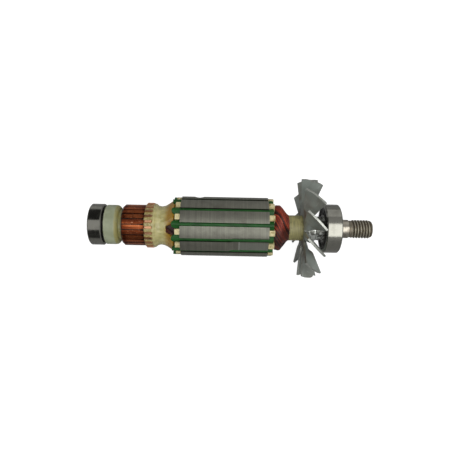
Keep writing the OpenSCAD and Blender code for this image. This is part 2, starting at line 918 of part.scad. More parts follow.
module outer_ring(b) {
    seat_r = land_r(b, 1) + seal_seat;
    depth = seal_inset + seal_t;
    color("#8A8A82")
        laid()
            translate([0, 0, b[5]])
                rotate(ring_turn)
                    rotate_extrude()
                        difference() {
                            ring_section(b, land_r(b, 1), b[1] / 2, land_chamfer, bearing_chamfer);
                            translate([0, -cut])
                                square([seat_r, depth + cut]);
                            translate([0, b[2] - depth])
                                square([seat_r, depth + cut]);
                        }
}

module ball_set(b) {
    color("#B5B5B0")
        laid()
            translate([0, 0, b[5] + b[2] / 2])
                around(balls, 0)
                    translate([b[4] / 2, 0, 0])
                        sphere(d = b[3]);
}

// A moulded cage: a ring with a round pocket for each ball
module ball_cage(b) {
    pocket = b[3] / 2 + cage_play;
    seal_room = b[2] / 2 - seal_inset - seal_t - pocket;
    half = pocket + seal_room * cage_wall_share;
    color("#9A9A94")
        laid()
            translate([0, 0, b[5] + b[2] / 2])
                difference() {
                    tube(b[4] / 2 - cage_t / 2, b[4] / 2 + cage_t / 2, -half, half);
                    around(balls, 0)
                        rotate([0, 90, 0])
                            cylinder(r = pocket, h = b[1]);
                }
}

// A rubber seal held in the outer ring, with its lip just clear of the inner ring
module seal(b, from) {
    lip_r = land_r(b, -1) + lip_play;
    groove_from = lip_r + seal_edge;
    groove_to = land_r(b, 1) + seal_seat - seal_edge;
    outside = from < b[5] + b[2] / 2 ? 0 : seal_t;
    color("#1E1E1C")
        laid()
            translate([0, 0, from])
                rotate_extrude()
                    difference() {
                        translate([lip_r, 0])
                            square([land_r(b, 1) + seal_seat - lip_r, seal_t]);
                        translate([groove_from, outside - seal_groove])
                            square([groove_to - groove_from, 2 * seal_groove]);
                    }
}

function rear_seal_at(b) = b[5] + seal_inset;
function front_seal_at(b) = b[5] + b[2] - seal_inset - seal_t;

module rear_inner_ring() inner_ring(rear_bearing);
module rear_outer_ring() outer_ring(rear_bearing);
module rear_balls() ball_set(rear_bearing);
module rear_cage() ball_cage(rear_bearing);
module rear_outside_seal() seal(rear_bearing, rear_seal_at(rear_bearing));
module rear_inside_seal() seal(rear_bearing, front_seal_at(rear_bearing));
module front_inner_ring() inner_ring(front_bearing);
module front_outer_ring() outer_ring(front_bearing);
module front_balls() ball_set(front_bearing);
module front_cage() ball_cage(front_bearing);
module front_outside_seal() seal(front_bearing, front_seal_at(front_bearing));
module front_inside_seal() seal(front_bearing, rear_seal_at(front_bearing));

shaft();
shaft_sleeve();
lamination_stack();
slot_liners();
slot_wedges();
rear_end_insulator();
front_end_insulator();
winding();
lead_resin();
commutator_bars();
commutator_micas();
commutator_moulding();
commutator_bush();
rear_collar();
fan();
fan_boss();
front_spacer();
rear_inner_ring();
rear_outer_ring();
rear_balls();
rear_cage();
rear_outside_seal();
rear_inside_seal();
front_inner_ring();
front_outer_ring();
front_balls();
front_cage();
front_outside_seal();
front_inside_seal();
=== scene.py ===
import json
import math
import random

import bmesh
import bpy
from mathutils import Matrix, Vector, noise


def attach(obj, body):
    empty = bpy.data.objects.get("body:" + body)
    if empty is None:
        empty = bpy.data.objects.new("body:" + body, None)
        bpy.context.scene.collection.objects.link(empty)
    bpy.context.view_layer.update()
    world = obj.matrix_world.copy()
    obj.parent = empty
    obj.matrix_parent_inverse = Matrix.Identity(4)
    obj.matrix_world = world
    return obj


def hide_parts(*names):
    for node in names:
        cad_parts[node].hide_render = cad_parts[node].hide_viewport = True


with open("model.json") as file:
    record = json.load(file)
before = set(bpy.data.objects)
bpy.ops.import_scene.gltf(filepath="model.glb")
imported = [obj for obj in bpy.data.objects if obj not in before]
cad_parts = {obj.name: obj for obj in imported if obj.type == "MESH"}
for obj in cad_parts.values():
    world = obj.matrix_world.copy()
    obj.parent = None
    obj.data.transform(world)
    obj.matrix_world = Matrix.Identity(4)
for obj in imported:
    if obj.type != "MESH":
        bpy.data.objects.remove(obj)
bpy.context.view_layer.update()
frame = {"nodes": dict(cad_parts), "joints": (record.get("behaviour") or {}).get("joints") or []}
nodes = frame["nodes"]
print("armature: packed model loaded")

mm = 0.001
joints = {joint["name"]: joint for joint in frame["joints"]}

# The shaft's line runs through the two bearings' turning centres.
rearCentre = Vector(joints["rear_bearing_turn"]["pos_m"])
frontCentre = Vector(joints["front_bearing_turn"]["pos_m"])
along = (frontCentre - rearCentre).normalized()
side = Vector((0, 1, 0))
down = side.cross(along)  # square to the shaft, turned to the floor
rearFace = min((v.co - rearCentre).dot(along) for v in nodes["rear_outer_ring"].data.vertices)
shaftStart = rearCentre + along * rearFace

# Pieces are drawn in millimetres round the shaft: x down, y sideways, z from the rear bearing's face.
shaftAxes = Matrix((down, side, along)).transposed().to_4x4()
shaftToRow = Matrix.Translation(shaftStart) @ shaftAxes @ Matrix.Scale(mm, 4)
rowToShaft = shaftToRow.inverted()


def reach(name):
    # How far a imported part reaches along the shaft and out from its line, in millimetres.
    points = [rowToShaft @ v.co for v in nodes[name].data.vertices]
    radii = [math.hypot(p.x, p.y) for p in points]
    heights = [p.z for p in points]
    return {"start": min(heights), "end": max(heights), "inner": min(radii), "outer": max(radii)}


def atTurn(radius, turn, height):
    return Vector((radius * math.cos(turn), radius * math.sin(turn), height))


def smoothStep(low, high, value):
    t = min(max((value - low) / (high - low), 0), 1)
    return t * t * (3 - 2 * t)


def between(points, value):
    # A value read off a line of (position, value) points.
    if value <= points[0][0]:
        return points[0][1]
    for (a, low), (b, high) in zip(points, points[1:]):
        if value <= b:
            return low + (high - low) * (value - a) / (b - a)
    return points[-1][1]


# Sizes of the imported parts, in millimetres from the rear bearing's face
bar = reach("commutator_bars")
resin = reach("lead_resin")
sleeve = reach("shaft_sleeve")
core = reach("lamination_stack")
frontInsulator = reach("front_end_insulator")
rearInsulator = reach("rear_end_insulator")
barRadius = reach("commutator_micas")["outer"] + 0.6  # the micas are undercut
slotRing = {"count": 12, "turn": 28.4}  # the first one's turn, in degrees
barRing = {"count": 24, "turn": 7.4}


# Colour and node helpers

def toLinear(hexColour):
    values = [int(hexColour[i:i + 2], 16) / 255 for i in (1, 3, 5)]
    return tuple(v / 12.92 if v <= 0.04045 else ((v + 0.055) / 1.055) ** 2.4 for v in values) + (1.0,)


def feed(tree, node, inputs):
    # Sets or links a node's inputs. A node given as a value is linked by its first output in use.
    for name, value in inputs.items() if isinstance(inputs, dict) else enumerate(inputs):
        if isinstance(value, bpy.types.Node):
            value = next(socket for socket in value.outputs if socket.enabled)
        if isinstance(value, bpy.types.NodeSocket):
            tree.links.new(value, node.inputs[name])
        else:
            node.inputs[name].default_value = toLinear(value) if isinstance(value, str) else value


def addNode(tree, kind, settings=None, inputs=()):
    node = tree.nodes.new(kind)
    for name, value in (settings or {}).items():
        setattr(node, name, value)
    feed(tree, node, inputs)
    return node


# Settings that many nodes share. A map range takes its value, its range and what the range becomes.
smooth = {"interpolation_type": "SMOOTHSTEP"}
multiply = {"operation": "MULTIPLY"}
greater = {"operation": "MAXIMUM"}
angle = {"operation": "ARCTAN2"}
fold = {"operation": "PINGPONG"}


def newFinish(name, sockets):
    finish = bpy.data.materials.new(name)
    finish.use_nodes = True
    tree = finish.node_tree
    shader = tree.nodes["Principled BSDF"]
    feed(tree, shader, sockets)
    return finish, tree, shader


def shaftPlace(tree):
    # The surface's place in shaft millimetres, its height along the shaft and its turn in radians.
    place = addNode(tree, "ShaderNodeMapping", {}, {
        "Vector": addNode(tree, "ShaderNodeTexCoord").outputs["Object"],
        "Location": rowToShaft.to_translation(),
        "Rotation": rowToShaft.to_euler(),
        "Scale": rowToShaft.to_scale()})
    parts = addNode(tree, "ShaderNodeSeparateXYZ", {}, [place]).outputs
    turn = addNode(tree, "ShaderNodeMath", angle, [parts["Y"], parts["X"]])
    return place, parts["Z"], turn


def fromAxis(tree, place):
    # The surface's distance from the shaft's line, in millimetres.
    flat = addNode(tree, "ShaderNodeVectorMath", multiply, [place, (1, 1, 0)])
    return addNode(tree, "ShaderNodeVectorMath", {"operation": "LENGTH"}, [flat])


def fromMiddle(tree, turn, ring):
    # How far round a place lies from its slot's or bar's middle: 0 there, 0.5 halfway to the next.
    phase = addNode(tree, "ShaderNodeMath", {"operation": "MULTIPLY_ADD"}, [
        turn, ring["count"] / (2 * math.pi), 10.0 - ring["turn"] * ring["count"] / 360])
    return addNode(tree, "ShaderNodeMath", fold, [phase, 0.5])


def meeting(tree, *masks):
    # Where all of the masks meet. A plain number among them makes the rest fainter.
    shared = masks[0]
    for mask in masks[1:]:
        shared = addNode(tree, "ShaderNodeMath", multiply, [shared, mask])
    return shared


def unrolled(tree, height, turn, radius, alongScale, roundScale):
    # A flat map of a round surface of this radius, in cells this long along the shaft and round it.
    cells = [addNode(tree, "ShaderNodeMath", multiply, [value, scale])
             for value, scale in ((turn, radius / roundScale), (height, 1 / alongScale))]
    return addNode(tree, "ShaderNodeCombineXYZ", {}, cells)


def clouds(tree, vector, size, low, high, detail=3.0):
    # Soft patches of about the given size in millimetres, as a mask from 0 to 1.
    pattern = addNode(tree, "ShaderNodeTexNoise", {}, {"Vector": vector, "Scale": 1 / size, "Detail": detail})
    return addNode(tree, "ShaderNodeMapRange", smooth, [pattern, low, high])


def dress(tree, shader, face, layers, relief=None, rough=None):
    # Lays (mask, colour) layers over the face's colour, raises a relief of (mask, millimetres, strength),
    # and runs the roughness between two values by (mask, low, high).
    colour = face
    for mask, over in layers:
        colour = addNode(tree, "ShaderNodeMix", {"data_type": "RGBA"}, {0: mask, 6: colour, 7: over})
    feed(tree, shader, {"Base Color": colour})
    if relief:
        mask, depth, strength = relief
        feed(tree, shader, {"Normal": addNode(tree, "ShaderNodeBump", {}, {
            "Height": mask, "Distance": depth * mm, "Strength": strength})})
    if rough:
        mask, low, high = rough
        feed(tree, shader, {
            "Roughness": addNode(tree, "ShaderNodeMapRange", smooth, [mask, 0, 1, low, high])})


def patchyFinish(name, sockets, face, patches, grain=None):
    # A finish with patches of (colour, millimetres, where they begin, where they are full),
    # over a grain of (millimetres, depth, strength).
    finish, tree, shader = newFinish(name, sockets)
    place = shaftPlace(tree)[0]
    layers = [(clouds(tree, place, *patch), colour) for colour, *patch in patches]
    relief = grain and (clouds(tree, place, grain[0], 0.2, 0.8), *grain[1:])
    dress(tree, shader, face, layers, relief)
    return finish


# Finishes

def electricalSteelStack(flatStart):
    # Stacked electrical steel, turned on the outside: an even dull grey, with a fine line at each sheet.
    # Real sheets are 0.5 mm, too fine to show, so the lines are drawn 0.9 mm apart.
    look = {"bright": "#747469", "dull": "#626259", "stain": "#56544B", "slot": "#211F18",
            "smear": "#83877F", "scar": "#B4B6AE", "sheet": 0.9,
            "flatFrom": (-2.03, -1.99), "flatTo": (-1.6, -1.56), "scarFrom": (-2.24, -2.16)}
    finish, tree, shader = newFinish("electricalSteelStack", {"Metallic": 0.7, "Roughness": 0.44})
    place, height, turn = shaftPlace(tree)
    index = addNode(tree, "ShaderNodeMath", multiply, [height, 1 / look["sheet"]])
    number = addNode(tree, "ShaderNodeMath", {"operation": "FLOOR"}, [index])
    chance = addNode(tree, "ShaderNodeTexWhiteNoise", {"noise_dimensions": "1D"}, {"W": number})
    odd = addNode(tree, "ShaderNodeMapRange", smooth, [chance, 0, 1, 0.2, 0.7])
    grime = addNode(tree, "ShaderNodeMapRange", smooth, [clouds(tree, place, 7.0, 0.5, 0.8), 0, 1, 0.0, 0.6])
    edge = addNode(tree, "ShaderNodeMath", fold, [index, 0.5])
    line = addNode(tree, "ShaderNodeMapRange", smooth, [edge, 0.0, 0.16, 0.4, 0.0])
    # The long balance flat is milled smooth, with a bright edge where the cutter ran out.
    onTooth = addNode(tree, "ShaderNodeMapRange", smooth, [turn, *look["flatTo"], 1.0, 0.0])
    fromEdge = addNode(tree, "ShaderNodeMapRange", smooth, [turn, *look["flatFrom"]])
    onFlat = meeting(tree, fromEdge, onTooth)
    begun = addNode(tree, "ShaderNodeMapRange", smooth, [height, flatStart, flatStart + 0.4])
    rim = addNode(tree, "ShaderNodeMapRange", smooth, [height, flatStart + 0.5, flatStart + 1.1, 1.0, 0.0])
    scarred = addNode(tree, "ShaderNodeMapRange", smooth, [turn, *look["scarFrom"]])
    # Painted shade darkens the slots' walls, where the wedges lie deeper than the teeth. The balance flat
    # lies lower, so it is left out.
    inside = addNode(tree, "ShaderNodeMapRange", smooth, [
        fromAxis(tree, place), core["outer"] - 0.5, core["outer"] - 0.12, 1.0, 0.0])
    slotShadeSpan = addNode(tree, "ShaderNodeMapRange", smooth, [
        fromMiddle(tree, turn, slotRing), 0.13, 0.16, 1.0, 0.0])
    pastEnd = addNode(tree, "ShaderNodeMapRange", smooth, [height, flatStart - 6.0, flatStart - 5.0])
    kept = addNode(tree, "ShaderNodeMapRange", smooth, [meeting(tree, onFlat, pastEnd), 0, 1, 1.0, 0.0])
    ridge = addNode(tree, "ShaderNodeMapRange", smooth, [edge, 0.0, 0.2])
    dress(tree, shader, look["bright"], [
        (odd, look["dull"]), (grime, look["stain"]), (line, look["stain"]),
        (meeting(tree, onFlat, begun, 0.5), look["smear"]),
        (meeting(tree, begun, rim, onTooth, scarred, 0.4), look["scar"]),
        (meeting(tree, inside, slotShadeSpan, kept), look["slot"])],
        (ridge, 0.03, 0.5), (clouds(tree, place, 3.0, 0.3, 0.7), 0.4, 0.5))
    return finish


def fibreWedge():
    # Vulcanised fibre strip, cut and pressed: deep green and slightly shiny, with scuffs along it.
    look = {"face": "#155018", "deep": "#0B340E", "scuff": "#3A7034", "streaks": (core["outer"], 6.0, 0.5)}
    finish, tree, shader = newFinish("fibreWedge", {"Roughness": 0.5, "IOR": 1.35})
    place, height, turn = shaftPlace(tree)
    streaks = unrolled(tree, height, turn, *look["streaks"])
    dress(tree, shader, look["face"], [
        (clouds(tree, streaks, 1.0, 0.35, 0.7), look["deep"]),
        (clouds(tree, place, 1.2, 0.66, 0.8), look["scuff"])],
        (clouds(tree, streaks, 0.6, 0.2, 0.8), 0.04, 0.5))
    return finish


def slotPaper():
    # Pressed polyester paper in the slots: dull green, olive where varnish has soaked in.
    look = {"face": "#1B4A22", "soaked": "#5C5E20"}
    return patchyFinish("slotPaper", {"Roughness": 0.6}, look["face"],
                        [(look["soaked"], 0.8, 0.3, 0.62)], (0.4, 0.03, 0.4))


def pressedBoard():
    # Pressed insulating board, varnished: cream and dull, with yellow where the varnish stands.
    look = {"face": "#B9AC7E", "pale": "#D0C598", "varnish": "#857038"}
    return patchyFinish("pressedBoard", {"Roughness": 0.55, "IOR": 1.5}, look["face"], [
        (look["pale"], 1.5, 0.3, 0.7), (look["varnish"], 2.2, 0.52, 0.72)], (0.35, 0.05, 0.5))


def enamelledWire(name, look):
    # Copper wire, enamelled and varnished: brick red with a wet shine, with painted shade nearly black on one
    # side.
    finish, tree, shader = newFinish(name, {
        "Roughness": 0.42, "IOR": 1.4, "Coat Weight": 0.12, "Coat Roughness": 0.2})
    place, turn = shaftPlace(tree)[::2]
    # Painted shade: one side of the head, picked by its turn round the shaft, is darker.
    darker = addNode(tree, "ShaderNodeMapRange", smooth, [turn, -2.65, -2.35])
    ended = addNode(tree, "ShaderNodeMapRange", smooth, [turn, -1.0, -0.5, 1.0, 0.0])
    dress(tree, shader, look["face"], [
        (clouds(tree, place, 0.8, 0.4, 0.7), look["edge"]),
        (meeting(tree, darker, ended, 0.85), look["shadedSide"])], (clouds(tree, place, 0.3, 0.2, 0.8), 0.03, 0.4))
    return finish


def windingVarnish():
    # Baked varnish between the coils: nearly black red, half shiny.
    look = {"face": "#3A1410", "dark": "#1E0A08"}
    return patchyFinish("windingVarnish", {"Roughness": 0.45}, look["face"],
                        [(look["dark"], 1.2, 0.3, 0.7)], (0.5, 0.08, 0.5))


def curedResin(tangEnd, amberFrom, amberTo):
    # Cured epoxy over the leads, brushed on: pale yellow green and waxy, amber where it is thick at the core.
    look = {"pale": "#B6AE7A", "green": "#9C9562", "amber": "#926F1B", "brown": "#4A2810", "film": "#86703C",
            "sweep": (11.5, 3.5, 1.4)}
    finish, tree, shader = newFinish("curedResin", {
        "Roughness": 0.36, "IOR": 1.5, "Coat Weight": 0.25, "Coat Roughness": 0.15,
        "Subsurface Weight": 0.12, "Subsurface Radius": (1.0, 0.8, 0.4), "Subsurface Scale": 1.0 * mm})
    place, height, turn = shaftPlace(tree)
    sweep = unrolled(tree, height, turn, *look["sweep"])
    # Varnish from the tangs soaks into the resin between them.
    soaked = addNode(tree, "ShaderNodeMapRange", smooth, [height, tangEnd - 1.2, tangEnd + 0.6, 1.0, 0.0])
    film = addNode(tree, "ShaderNodeMapRange", smooth, [clouds(tree, place, 1.0, 0.35, 0.6), 0, 1, 0.1, 0.8])
    depth = addNode(tree, "ShaderNodeMapRange", smooth, [height, amberFrom, amberTo])
    edge = addNode(tree, "ShaderNodeMapRange", smooth, [height, amberTo - 2.0, amberTo + 0.4])
    dress(tree, shader, look["pale"], [
        (clouds(tree, sweep, 1.2, 0.3, 0.7), look["green"]),
        (meeting(tree, soaked, film), look["film"]),
        (meeting(tree, depth, clouds(tree, place, 3.4, 0.26, 0.46)), look["amber"]),
        (meeting(tree, edge, clouds(tree, place, 1.6, 0.6, 0.76)), look["brown"])],
        (clouds(tree, place, 1.1, 0.2, 0.8), 0.06, 0.4))
    return finish


def commutatorCopper(trackStart, trackEnd):
    # Hard drawn copper, turned and run in: a brown oxide film, brighter and scored where the brushes run,
    # where the film is thinner and painted glints lie on it.
    # Real turning rings are about 0.05 mm apart, too fine to show, so they are drawn 0.28 mm apart.
    look = {"copper": "#AE6038", "film": "#68301A", "dark": "#20100A", "bright": "#E8AC88", "tang": "#BE9070",
            "rings": (barRadius, 0.28, 30.0), "bars": (barRadius, 30.0, 2.85)}
    finish, tree, shader = newFinish("commutatorCopper", {"Metallic": 1.0, "Roughness": 0.34})
    place, height, turn = shaftPlace(tree)
    rings = unrolled(tree, height, turn, *look["rings"])
    barMap = unrolled(tree, height, turn, *look["bars"])
    trackIn = addNode(tree, "ShaderNodeMapRange", smooth, [height, trackStart - 1.0, trackStart + 1.0])
    trackOut = addNode(tree, "ShaderNodeMapRange", smooth, [height, trackEnd - 1.5, trackEnd + 1.0, 1.0, 0.0])
    track = meeting(tree, trackIn, trackOut)
    outside = addNode(tree, "ShaderNodeMath", {"operation": "SUBTRACT"}, [1.0, track])
    scores = addNode(tree, "ShaderNodeMapRange", smooth, [
        clouds(tree, rings, 1.0, 0.5, 0.68, 4.0), 0, 1, 0.0, 0.3])
    # Painted glints: bright specks of painted highlight in the brush track.
    glints = addNode(tree, "ShaderNodeMapRange", smooth, [
        clouds(tree, place, 0.4, 0.58, 0.7, 5.0), 0, 1, 0.0, 0.7])
    # Carbon dust darkens the bars' edges beside each gap, more so near the tangs.
    nearTangs = addNode(tree, "ShaderNodeMapRange", smooth, [
        height, trackEnd - 2.0, trackEnd + 1.0, 0.0, 0.09])
    reachIn = addNode(tree, "ShaderNodeMath", {"operation": "ADD"}, [
        fromMiddle(tree, turn, barRing), nearTangs])
    dusty = addNode(tree, "ShaderNodeMapRange", smooth, [reachIn, 0.37, 0.46])
    # The tangs stay lighter, because no brush oil reaches them.
    proud = addNode(tree, "ShaderNodeMapRange", smooth, [
        fromAxis(tree, place), barRadius + 0.15, barRadius + 0.6])
    dress(tree, shader, look["copper"], [
        (clouds(tree, barMap, 1.0, 0.35, 0.65, 1.0), look["film"]),
        (meeting(tree, outside, clouds(tree, place, 2.0, 0.2, 0.6)), look["film"]),
        (scores, look["film"]), (meeting(tree, track, glints), look["bright"]),
        (dusty, look["dark"]), (proud, look["tang"])],
        (clouds(tree, rings, 0.6, 0.2, 0.8), 0.01, 0.4), (clouds(tree, place, 1.2, 0.3, 0.7), 0.3, 0.45))
    return finish


def mouldedPhenolic():
    # Moulded phenolic: dark brown, a satin skin with fine speckle.
    look = {"face": "#2B1C12", "speckle": "#4A3524"}
    return patchyFinish("mouldedPhenolic", {"Roughness": 0.45, "IOR": 1.6}, look["face"],
                        [(look["speckle"], 0.4, 0.55, 0.7)], (0.5, 0.02, 0.4))


def micaStrip():
    # Undercut mica with carbon dust in the groove: dull, nearly black brown.
    look = {"dust": "#0E0906", "mica": "#2A2018"}
    return patchyFinish("micaStrip", {"Roughness": 0.8}, look["dust"], [(look["mica"], 0.7, 0.55, 0.75)])


def mouldedNylon(glueFrom, glueTo):
    # Moulded nylon, undyed and aged: pale grey green and slightly see-through, with glue at its front corner.
    look = {"face": "#949A7F", "shade": "#868C72", "glue": "#86804C"}
    finish, tree, shader = newFinish("mouldedNylon", {
        "Roughness": 0.42, "IOR": 1.53, "Subsurface Weight": 0.3, "Subsurface Radius": (1.0, 1.0, 0.7),
        "Subsurface Scale": 1.5 * mm})
    place, height = shaftPlace(tree)[:2]
    into = addNode(tree, "ShaderNodeMapRange", smooth, [height, glueFrom - 0.5, glueFrom + 0.3])
    out = addNode(tree, "ShaderNodeMapRange", smooth, [height, glueTo - 0.6, glueTo + 0.8, 1.0, 0.25])
    drift = addNode(tree, "ShaderNodeMapRange", smooth, [clouds(tree, place, 2.6, 0.3, 0.6), 0, 1, 0.7, 1.0])
    dress(tree, shader, look["face"], [
        (clouds(tree, place, 5.0, 0.35, 0.7), look["shade"]),
        (meeting(tree, into, out, drift), look["glue"])], (clouds(tree, place, 1.6, 0.2, 0.8), 0.05, 0.4))
    return finish


def woundGlassTube():
    # Filament wound glass and resin tube: khaki, dull, with fine winding lines and varnish stains.
    # Real glass strands are about 0.3 mm wide, too fine to show, so the lines are drawn 0.8 mm wide.
    look = {"face": "#9C9560", "dark": "#7A7650", "stain": "#67613E", "lines": (sleeve["outer"], 0.8, 12.0)}
    finish, tree, shader = newFinish("woundGlassTube", {"Roughness": 0.5, "IOR": 1.5})
    place, height, turn = shaftPlace(tree)
    lines = unrolled(tree, height, turn, *look["lines"])
    dress(tree, shader, look["face"], [
        (clouds(tree, lines, 0.7, 0.35, 0.7, 4.0), look["dark"]),
        (clouds(tree, place, 2.5, 0.52, 0.72), look["stain"])],
        (clouds(tree, lines, 0.5, 0.2, 0.8), 0.05, 0.6))
    return finish


def turnedSteel():
    # Turned and ground steel shaft: grey with a warm oil stain, fine rings from the tool.
    # Real tool rings are about 0.1 mm apart, too fine to show, so they are drawn 0.22 mm apart.
    look = {"face": "#9C978B", "stain": "#7C756A", "dark": "#5A5146", "rings": (5.0, 0.22, 25.0)}
    finish, tree, shader = newFinish("turnedSteel", {"Metallic": 1.0, "Roughness": 0.3})
    place, height, turn = shaftPlace(tree)
    rings = unrolled(tree, height, turn, *look["rings"])
    dress(tree, shader, look["face"], [
        (clouds(tree, place, 2.2, 0.42, 0.7), look["stain"]),
        (clouds(tree, rings, 1.0, 0.62, 0.75), look["dark"])],
        (clouds(tree, rings, 0.8, 0.2, 0.8), 0.015, 0.6))
    return finish


def threadSteel():
    # Rolled thread, blackened by handling: brown grey with brighter crests.
    look = {"root": "#6A6356", "crest": "#A39E8E", "rust": "#756A52", "rootRadius": 4.4, "crestRadius": 4.95}
    finish, tree, shader = newFinish("threadSteel", {"Metallic": 0.65, "Roughness": 0.48})
    place = shaftPlace(tree)[0]
    crest = addNode(tree, "ShaderNodeMapRange", smooth, [
        fromAxis(tree, place), look["rootRadius"], look["crestRadius"]])
    dress(tree, shader, look["root"], [
        (crest, look["crest"]),
        (clouds(tree, place, 0.9, 0.5, 0.7), look["rust"])], (clouds(tree, place, 0.25, 0.2, 0.8), 0.02, 0.5))
    return finish


def rolledSheet():
    # Rolled sheet steel, zinc plated: even grey with a soft mirror, faint rolling lines and small scratches.
    look = {"face": "#949B94", "shade": "#868D86", "scratch": "#A8AEA7", "dust": "#6C5F52",
            "grainWide": 0.5, "grainLong": 6.0}
    finish, tree, shader = newFinish("rolledSheet", {"Metallic": 0.3, "Roughness": 0.4})
    place = shaftPlace(tree)[0]
    grain = addNode(tree, "ShaderNodeMapping", {}, {
        "Vector": place, "Scale": (1 / look["grainLong"], 1 / look["grainWide"], 1 / look["grainLong"])})
    # Brown patches on the blades, most of them near the hub: dust, and a painted reflection of the brown
    # parts nearby.
    hubDustAndReflection = addNode(tree, "ShaderNodeMapRange", smooth, [fromAxis(tree, place), 12.0, 21.0, 0.9, 0.3])
    dress(tree, shader, look["face"], [
        (clouds(tree, place, 6.0, 0.35, 0.7), look["shade"]),
        (clouds(tree, grain, 1.0, 0.64, 0.74), look["scratch"]),
        (meeting(tree, hubDustAndReflection, clouds(tree, place, 9.0, 0.42, 0.6)), look["dust"])],
        (clouds(tree, grain, 1.0, 0.2, 0.8), 0.015, 0.5), (clouds(tree, place, 4.0, 0.3, 0.7), 0.36, 0.46))
    return finish


def shearedEdge():
    # The sheet's sheared edge: bright bare metal, torn dull and rough in places.
    look = {"face": "#A4A69F", "torn": "#7C7E76"}
    return patchyFinish("shearedEdge", {"Metallic": 0.85, "Roughness": 0.38}, look["face"],
                        [(look["torn"], 0.5, 0.5, 0.7)], (0.3, 0.03, 0.6))


def machinedBoss():
    # Turned free-cutting steel: dull grey with tool rings, bright patches of rubbed metal and painted
    # highlight, and dark pits.
    # Real rings are about 0.1 mm apart, too fine to show, so they are drawn 0.5 mm apart.
    look = {"face": "#62635D", "dark": "#43423C", "rubbedAndHighlight": "#BFC2BC", "pit": "#1C1B18",
            "rings": (7.0, 0.5, 20.0)}
    finish, tree, shader = newFinish("machinedBoss", {"Metallic": 0.9, "Roughness": 0.38})
    place, height, turn = shaftPlace(tree)
    rings = unrolled(tree, height, turn, *look["rings"])
    # The bright patches are rubbed metal and painted highlight.
    dress(tree, shader, look["face"], [
        (clouds(tree, rings, 1.0, 0.5, 0.72), look["dark"]),
        (clouds(tree, place, 2.6, 0.5, 0.58), look["rubbedAndHighlight"]),
        (clouds(tree, place, 1.1, 0.6, 0.66), look["pit"])], (clouds(tree, rings, 0.6, 0.2, 0.8), 0.03, 0.6))
    return finish


def groundBearingSteel():
    # Through-hardened bearing steel, ground: a clear dark mirror with faint grinding lines and a few scuffs.
    # Real grinding lines are too fine to show, so they are drawn 0.2 mm apart.
    look = {"face": "#86857D", "scuff": "#7A7971", "oil": "#676257", "lines": (12.0, 0.2, 40.0)}
    finish, tree, shader = newFinish("groundBearingSteel", {"Metallic": 1.0, "Roughness": 0.17})
    place, height, turn = shaftPlace(tree)
    lines = unrolled(tree, height, turn, *look["lines"])
    dress(tree, shader, look["face"], [
        (clouds(tree, place, 4.0, 0.45, 0.75), look["scuff"]),
        (clouds(tree, place, 0.7, 0.72, 0.8), look["oil"])],
        (clouds(tree, lines, 0.8, 0.2, 0.8), 0.002, 0.3), (clouds(tree, place, 3.0, 0.3, 0.75), 0.14, 0.2))
    return finish


def nitrileSeal():
    # Moulded nitrile rubber seal: black and dull, with dust and a greasy shine in places.
    look = {"face": "#1A1917", "dust": "#4A4740"}
    finish, tree, shader = newFinish("nitrileSeal", {"Roughness": 0.55, "IOR": 1.52})
    place = shaftPlace(tree)[0]
    dress(tree, shader, look["face"], [(clouds(tree, place, 1.4, 0.55, 0.75), look["dust"])],
          (clouds(tree, place, 0.5, 0.2, 0.8), 0.02, 0.4), (clouds(tree, place, 2.0, 0.4, 0.6), 0.35, 0.65))
    return finish


def mouldedCage():
    # Moulded glass-filled nylon cage: off-white, greasy.
    look = {"face": "#B8AE8C", "grease": "#8C7B4A"}
    return patchyFinish("mouldedCage", {"Roughness": 0.4, "IOR": 1.53}, look["face"],
                        [(look["grease"], 1.2, 0.4, 0.7)])


def lappedBall():
    # Lapped bearing balls: a clean steel mirror under a thin film of grease.
    look = {"face": "#D0D0CC", "grease": "#A89868"}
    return patchyFinish("lappedBall", {"Metallic": 1.0, "Roughness": 0.08}, look["face"],
                        [(look["grease"], 1.2, 0.55, 0.75)])


finishes = {
    "steelStack": electricalSteelStack(flatStart=core["start"] + 29.8),
    "wedge": fibreWedge(),
    "paper": slotPaper(),
    "board": pressedBoard(),
    "wire": enamelledWire("enamelledWire", {
        "face": "#842C18", "edge": "#661E10", "shadedSide": "#33110A"}),
    "wireDark": enamelledWire("enamelledWireDark", {
        "face": "#3E140B", "edge": "#260B06", "shadedSide": "#1A0704"}),
    "wireLight": enamelledWire("enamelledWireLight", {
        "face": "#B04E32", "edge": "#883820", "shadedSide": "#542014"}),
    "varnish": windingVarnish(),
    "resin": curedResin(tangEnd=bar["end"] - 1.0, amberFrom=resin["end"] - 5.0, amberTo=resin["end"] - 1.2),
    "copper": commutatorCopper(trackStart=bar["start"] + 2.5, trackEnd=bar["start"] + 11.0),
    "phenolic": mouldedPhenolic(),
    "mica": micaStrip(),
    "nylon": mouldedNylon(glueFrom=13.7, glueTo=16.6),
    "glassTube": woundGlassTube(),
    "turned": turnedSteel(),
    "thread": threadSteel(),
    "sheet": rolledSheet(),
    "shear": shearedEdge(),
    "boss": machinedBoss(),
    "ring": groundBearingSteel(),
    "seal": nitrileSeal(),
    "cage": mouldedCage(),
    "ball": lappedBall(),
}
print("armature: finishes made")

nodeFinish = {
    "shaft": "turned", "shaft_sleeve": "glassTube", "lamination_stack": "steelStack", "slot_liners": "paper",
    "slot_wedges": "wedge", "rear_end_insulator": "board", "front_end_insulator": "board", "winding": "wire",
    "lead_resin": "resin", "commutator_bars": "copper", "commutator_micas": "mica",
    "commutator_moulding": "phenolic", "commutator_bush": "boss", "rear_collar": "nylon", "fan": "sheet",
    "fan_boss": "boss", "front_spacer": "boss",
}
bearingFinish = {"inner_ring": "ring", "outer_ring": "ring", "balls": "ball", "cage": "cage",
                 "outside_seal": "seal", "inside_seal": "seal"}
for end in ("rear", "front"):
    nodeFinish.update({end + "_" + part: finishName for part, finishName in bearingFinish.items()})
for name, node in nodes.items():
    node.data.materials.clear()
    node.data.materials.append(finishes[nodeFinish[name]])


# Mesh helpers

def newObject(name, data):
    made = bpy.data.objects.new(name, data)
    bpy.context.scene.collection.objects.link(made)
    return made


